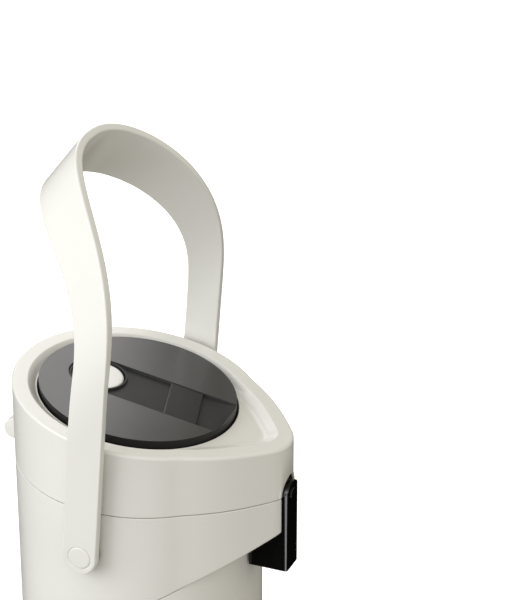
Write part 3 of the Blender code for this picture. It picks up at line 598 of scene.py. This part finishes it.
def strap_section(front, back, inward):
    """A rounded rectangle between two edge points, STRAP thick towards inward."""
    width = np.linalg.norm(back - front)
    along = (back - front) / width
    corner = min(STRAP_CORNER, width * 0.45)
    points = []
    for u, v, start in ((corner, corner, math.pi), (width - corner, corner, 1.5 * math.pi),
                        (width - corner, STRAP - corner, 0), (corner, STRAP - corner, math.pi / 2)):
        for a in np.linspace(start, start + math.pi / 2, 5):
            points.append(front + along * (u + corner * math.cos(a)) + inward * (v + corner * math.sin(a)))
    return np.array(points)


def make_handle():
    stations = strap_stations()
    mids = np.array([(a + b) / 2 for a, b in stations])
    rings = []
    for i, (front, back) in enumerate(stations):
        run = mids[min(i + 1, len(mids) - 1)] - mids[max(i - 1, 0)]
        inward = np.cross(back - front, run)
        inward /= np.linalg.norm(inward)
        rings.append(strap_section(front, back, inward))
    handle = loft("handle_fine", rings, IVORY, closed=False, caps=True)
    for sign in (-1, 1):
        low, high = sorted((-sign * SEAT_DEPTH, sign * 2))
        seat = turned("seat", rod(SEAT_R, low, high), None, (sign * HANDLE_HIGH[0], 0, PIVOT_Z), "X", 64)
        boolean(handle, seat)
    place(weigh_normals(handle), "handle_body", "ivory_plastic", "handle")
    base = HANDLE_HIGH[0] - SEAT_DEPTH + 0.1
    proud = CAP_HIGH[0] - base
    for side, sign in (("left", -1), ("right", 1)):
        profile = [(0, 0), (CAP_R, 0), (CAP_R, sign * (proud - 0.35)), (CAP_R - 1.1, sign * (proud - 0.08)),
                   (0, sign * proud)]
        cap = turned("pivot_cap_" + side + "_fine", profile, IVORY, (sign * base, 0, PIVOT_Z), "X", 64, 0.3)
        place(cap, "handle_body", "ivory_plastic", "pivot_cap_" + side)


# ---------------------------------------------------------------- push plate

TAB_REAR = ((18.6, -14.2), (-18.6, -25.4))
TAB_FRONT = ((18.6, -37.2), (-18.6, -48.2))
TAB_SETBACK = 1.0
PLATE_THICK = 6.0
BOSS_R = 20.5
BOSS_BOTTOM = 331
SKIRT_R = 60.4
SKIRT_BORE = 57.9
INSIDE_LOW = 320
BUTTON_WELL = 13
BUTTON_R = 16.7
CHANNEL_FRONT = [(-CHANNEL_HALF, -49.5), (CHANNEL_HALF, -38.5)]
SCOOP_START = [(-CHANNEL_HALF, -49.0), (CHANNEL_HALF, -38.0)]
SCOOP_END = [(-CHANNEL_HALF, -66.0), (CHANNEL_HALF, -66.0)]


def under_plate(depth):
    """The plane this far below the plate's top."""
    return PLATE[0] - depth, PLATE[1]


def make_plate():
    at_button = (0, BUTTON_Y)
    plate = prism("push_plate_fine", circle(PLATE_R, 180), under_plate(PLATE_THICK), PLATE)
    boss = prism("boss", circle(BOSS_R, 96, at_button), level(BOSS_BOTTOM), under_plate(5))
    boolean(plate, boss, "UNION")
    skirt = prism("skirt", circle(SKIRT_R, 150), level(PLATE_LOW[2]), under_plate(3))
    boolean(skirt, prism("inside", circle(SKIRT_BORE, 150), level(INSIDE_LOW), under_plate(PLATE_THICK)))
    boolean(plate, skirt, "UNION")
    channel = np.concatenate([arc(CHANNEL_HALF, 0, math.pi, 48, at_button), CHANNEL_FRONT])
    boolean(plate, prism("channel", channel, under_plate(CHANNEL_DEPTH), level(CUT_ABOVE)))
    boolean(plate, scoop())
    bezel = prism("bezel", circle(BEZEL_R, 96, at_button), under_plate(CHANNEL_DEPTH + 1), under_plate(0.6))
    boolean(plate, bezel, "UNION")
    hole = circle(BEZEL_BORE, 96, at_button)
    well = prism("button_well", hole, under_plate(BUTTON_WELL), level(CUT_ABOVE))
    boolean(plate, well)
    soften(plate, 0.4, 25)
    finish_plate(plate)
    place(plate, "plate", "charcoal_plastic", "push_plate")
    make_slider()
    make_button()


def make_slider():
    """The lock's tab, in the darker charcoal copy as painted shade. The top of its rear edge leans forwards,
    and its back keeps the plate's own charcoal.
    """
    plan = [*TAB_REAR, *TAB_FRONT[::-1]]
    tab = prism("lock_slider_fine", plan, under_plate(CHANNEL_DEPTH - 0.3), under_plate(0.5), PAINTED_SHADE_CHARCOAL)
    for vert in tab.data.vertices:
        if vert.co.y / MM > -26 and plate_depth(vert.co / MM) < 1:
            vert.co.y -= TAB_SETBACK * MM
    soften(tab, 0.25)
    tab.data.materials.append(CHARCOAL)
    for face in tab.data.polygons:
        face.material_index = int(face.normal.y > 0)
    place(tab, "slider", "charcoal_plastic", "lock_slider")


def finish_plate(plate):
    """The top, its rim and the channel's walls keep the plate's charcoal. The recesses and the side below the
    rim take darker copies of it: painted shade.
    """
    plate.data.materials.clear()
    plate.data.materials.append(CHARCOAL)
    plate.data.materials.append(PAINTED_SHADE_CHARCOAL)
    plate.data.materials.append(EDGE_PAINTED_SHADE)
    slope = math.atan(PLATE[1])
    up = Vector((0, -math.sin(slope), math.cos(slope)))
    for face in plate.data.polygons:
        centre = face.center / MM
        depth = plate_depth(centre)
        on_top = face.normal.dot(up) > 0.999 and abs(depth) < 0.1
        at_edge = math.hypot(centre.x, centre.y) > PLATE_R - 1
        in_channel = 0 < depth < CHANNEL_DEPTH and abs(centre.x) > CHANNEL_HALF - 0.6
        channel_wall = in_channel and abs(face.normal.x) > 0.5
        keeps_plain_charcoal = on_top or channel_wall or (at_edge and depth < 0.5)
        face.material_index = 0 if keeps_plain_charcoal else 2 if at_edge and depth > 0.5 else 1


def plate_depth(point):
    return plane_z(PLATE, point.y) - point.z


def scoop():
    """The finger scoop: a floor that climbs from the lock's front edge to the plate's front edge."""
    start, end = np.array(SCOOP_START), np.array(SCOOP_END)
    bm = bmesh.new()
    rows = []
    for t in np.linspace(0, 1, 17):
        rise = (CHANNEL_DEPTH - 0.3) * (3 * t * t - 2 * t ** 3)
        points = ring(start + (end - start) * t, PLATE, rise - CHANNEL_DEPTH)
        rows.append([bm.verts.new(p) for p in points * MM])
    roof = [[bm.verts.new(p) for p in ring(row, level(CUT_ABOVE)) * MM] for row in (start, end)]
    for a, b in zip(rows, rows[1:]):
        bm.faces.new((a[0], a[1], b[1], b[0]))
    bm.faces.new((roof[0][0], roof[1][0], roof[1][1], roof[0][1]))
    bm.faces.new((rows[0][0], roof[0][0], roof[0][1], rows[0][1]))
    bm.faces.new((rows[-1][1], roof[1][1], roof[1][0], rows[-1][0]))
    for side in (0, 1):
        bm.faces.new([row[side] for row in rows] + [roof[1][side], roof[0][side]])
    return finish_mesh("scoop", bm, None)


def make_button():
    """A slightly domed disc, turned about the plate's normal, on an upright stem."""
    normal = Vector((0, -PLATE[1], 1)).normalized()
    turn = normal.to_track_quat("Z", "Y").to_matrix().to_4x4()
    centre = Vector((0, BUTTON_Y, plane_z(PLATE, BUTTON_Y))) * MM
    profile = [(0, -6.0), (BUTTON_R, -6.0), (BUTTON_R, -1.9), (BUTTON_R - 0.9, -1.5), (0, -1.4)]
    button = turned("vent_button_fine", profile, WHITE, fillet=0.5)
    button.data.transform(Matrix.Translation(centre) @ turn)
    stem_r, stem_bottom, stem_top = 4.8, 332, 349
    stem = turned("button_stem", rod(stem_r, stem_bottom, stem_top), None, (0, BUTTON_Y, 0), steps=32)
    boolean(button, stem, "UNION")
    place(button, "button", "white_plastic", "vent_button")


# ---------------------------------------------------------------- carried-over CAD nodes

def finish_cad_nodes():
    """Better materials for the CAD nodes that stay."""
    by_slot = {"ivory_plastic": IVORY, "charcoal_plastic": CHARCOAL, "black_plastic": BLACK,
               "white_plastic": WHITE, "inner_plastic": INNER, "flask_steel": FLASK_STEEL,
               "screw_steel": SCREW_STEEL, "black_rubber": RUBBER, "silicone": SILICONE}
    for part in frame["record"]["subparts"]:
        node = frame["nodes"][part["node"]]
        node.data.materials.clear()
        node.data.materials.append(by_slot[part["material_slot"]])
        node.data.set_sharp_from_angle(angle=math.radians(30))


def make_squashed():
    """Own copies of the bellows and the springs, riding on the lid and the plate."""
    squash_node("bellows", "lid", "silicone")
    squash_node("bellows_spring", "lid", "screw_steel")
    squash_node("button_spring", "plate", "screw_steel")


def squash_node(name, body, slot):
    source = frame["nodes"][name]
    piece = bpy.data.objects.new(name + "_fine", source.data.copy())
    bpy.context.scene.collection.objects.link(piece)
    place(piece, body, slot, name)
    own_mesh(piece)


# ---------------------------------------------------------------- studio

def area_light(name, place_m, target_m, size, power):
    """A white card of this size that faces the target, in metres and watts. The camera doesn't see it."""
    light = bpy.data.lights.new(name, "AREA")
    light.shape = "RECTANGLE"
    light.size, light.size_y = size
    light.energy = power
    obj = bpy.data.objects.new(name, light)
    bpy.context.scene.collection.objects.link(obj)
    obj.location = place_m
    obj.rotation_euler = (Vector(target_m) - Vector(place_m)).to_track_quat("-Z", "Y").to_euler()
    obj.visible_camera = False
    return obj


# The room's brightness by direction: (towards, full inside this angle, nothing outside it, colour).
GLOWS = [
    ((0.0, 0.0, 1.0), 78, 120, (0.40, 0.38, 0.33)),
    ((-0.80, 0.52, 0.30), 20, 80, (0.97, 1.00, 1.04)),
    ((-0.84, -0.35, 0.20), 10, 60, (0.26, 0.26, 0.25)),
    ((0.35, -0.75, 0.55), 15, 65, (0.40, 0.385, 0.345)),
]
# The height of a direction at which the glows have faded out, and at which they are whole.
HORIZON = (-0.42, -0.10)


def make_world():
    """Soft glows on a dark room, fading out below the horizon."""
    world = bpy.data.worlds.new("studio")
    world.use_nodes = True
    tree = world.node_tree
    direction = tree.nodes.new("ShaderNodeTexCoord").outputs["Generated"]
    split = tree.nodes.new("ShaderNodeSeparateXYZ")
    tree.links.new(direction, split.inputs[0])
    total = None
    for towards, inside, outside, color in GLOWS:
        dot = tree.nodes.new("ShaderNodeVectorMath")
        dot.operation = "DOT_PRODUCT"
        dot.inputs[1].default_value = Vector(towards).normalized()
        tree.links.new(direction, dot.inputs[0])
        limits = (math.cos(math.radians(outside)), math.cos(math.radians(inside)))
        glow = scaled(tree, color, fade(tree, dot.outputs["Value"], *limits))
        if total is None:
            total = glow
            continue
        add = tree.nodes.new("ShaderNodeVectorMath")
        tree.links.new(total, add.inputs[0])
        tree.links.new(glow, add.inputs[1])
        total = add.outputs["Vector"]
    mask = scaled(tree, (1, 1, 1), fade(tree, split.outputs["Z"], *HORIZON))
    final = tree.nodes.new("ShaderNodeVectorMath")
    final.operation = "MULTIPLY"
    tree.links.new(total, final.inputs[0])
    tree.links.new(mask, final.inputs[1])
    tree.links.new(final.outputs["Vector"], tree.nodes["Background"].inputs["Color"])
    bpy.context.scene.world = world


def fade(tree, value, low, high):
    """A smooth step from 0 at low to 1 at high."""
    step = tree.nodes.new("ShaderNodeMapRange")
    step.interpolation_type = "SMOOTHSTEP"
    step.inputs["From Min"].default_value = low
    step.inputs["From Max"].default_value = high
    tree.links.new(value, step.inputs["Value"])
    return step.outputs["Result"]


def scaled(tree, color, amount):
    node = tree.nodes.new("ShaderNodeVectorMath")
    node.operation = "SCALE"
    node.inputs[0].default_value = color
    tree.links.new(amount, node.inputs["Scale"])
    return node.outputs["Vector"]


def make_floor():
    """A pale floor, and below it the soft light that such a floor throws back up."""
    floor = glowing("floor", (0.8, 0.8, 0.8), (1, 1, 1), 0.55)
    floor.shader.inputs["Roughness"].default_value = 0.9
    stage_plane("floor", floor, 0).visible_diffuse = False
    bounce = glowing("floor_bounce", (0, 0, 0), (1, 0.955, 0.85), 0.42)
    stage_plane("floor_bounce", bounce, -0.002).visible_camera = False


def glowing(name, base, light, strength):
    """A material without a sheen that gives off light."""
    mat = Nodes(name)
    mat.shader.inputs["Base Color"].default_value = (*base, 1)
    mat.shader.inputs["Specular IOR Level"].default_value = 0.0
    mat.shader.inputs["Emission Color"].default_value = (*light, 1)
    mat.shader.inputs["Emission Strength"].default_value = strength
    return mat


def stage_plane(name, mat, z):
    bm = bmesh.new()
    bmesh.ops.create_grid(bm, x_segments=1, y_segments=1, size=20)
    bmesh.ops.translate(bm, vec=(0, 0, z), verts=bm.verts)
    plane = finish_mesh(name, bm, mat.material)
    plane.visible_glossy = False
    plane.visible_shadow = False
    return plane


def make_studio():
    make_world()
    make_floor()
    area_light("key", (-0.95, 0.70, 0.85), (0, 0, 0.3), size=(0.9, 0.9), power=6)
    side = area_light("side_fill", (1.25, 0.15, 0.55), (0, 0, 0.33), size=(0.9, 0.6), power=4.5)
    side.visible_glossy = False
    back = area_light("back_card", (0.33, 0.23, 0.645), (-0.01, 0.02, 0.35), size=(0.28, 0.40), power=0.8)
    back.visible_diffuse = False
    card = area_light("gloss_card", (-0.475, -0.50, -0.06), (0, -0.1, 2.0), size=(1.2, 0.24), power=4.0)
    card.visible_diffuse = False
    # The last card lights only the glossy black pieces.
    gloss = bpy.data.collections.new("gloss_black")
    for obj in bpy.data.objects:
        if obj.type == "MESH" and BLACK.name in obj.data.materials:
            gloss.objects.link(obj)
    card.light_linking.receiver_collection = gloss


def make_camera():
    camera = bpy.data.cameras.new("camera")
    camera.sensor_width = 36
    camera.lens = 138.85
    obj = bpy.data.objects.new("camera", camera)
    bpy.context.scene.collection.objects.link(obj)
    obj.location = (-1.18699, -0.57233, 1.02079)
    obj.rotation_euler = (math.radians(90 - 24.92), 0, math.radians(-67.5))
    bpy.context.scene.camera = obj
    bpy.context.scene.view_settings.view_transform = "Standard"


finish_cad_nodes()
make_lid()
make_collar()
make_shell()
make_spout()
make_handle()
make_plate()
make_squashed()
make_studio()
make_camera()
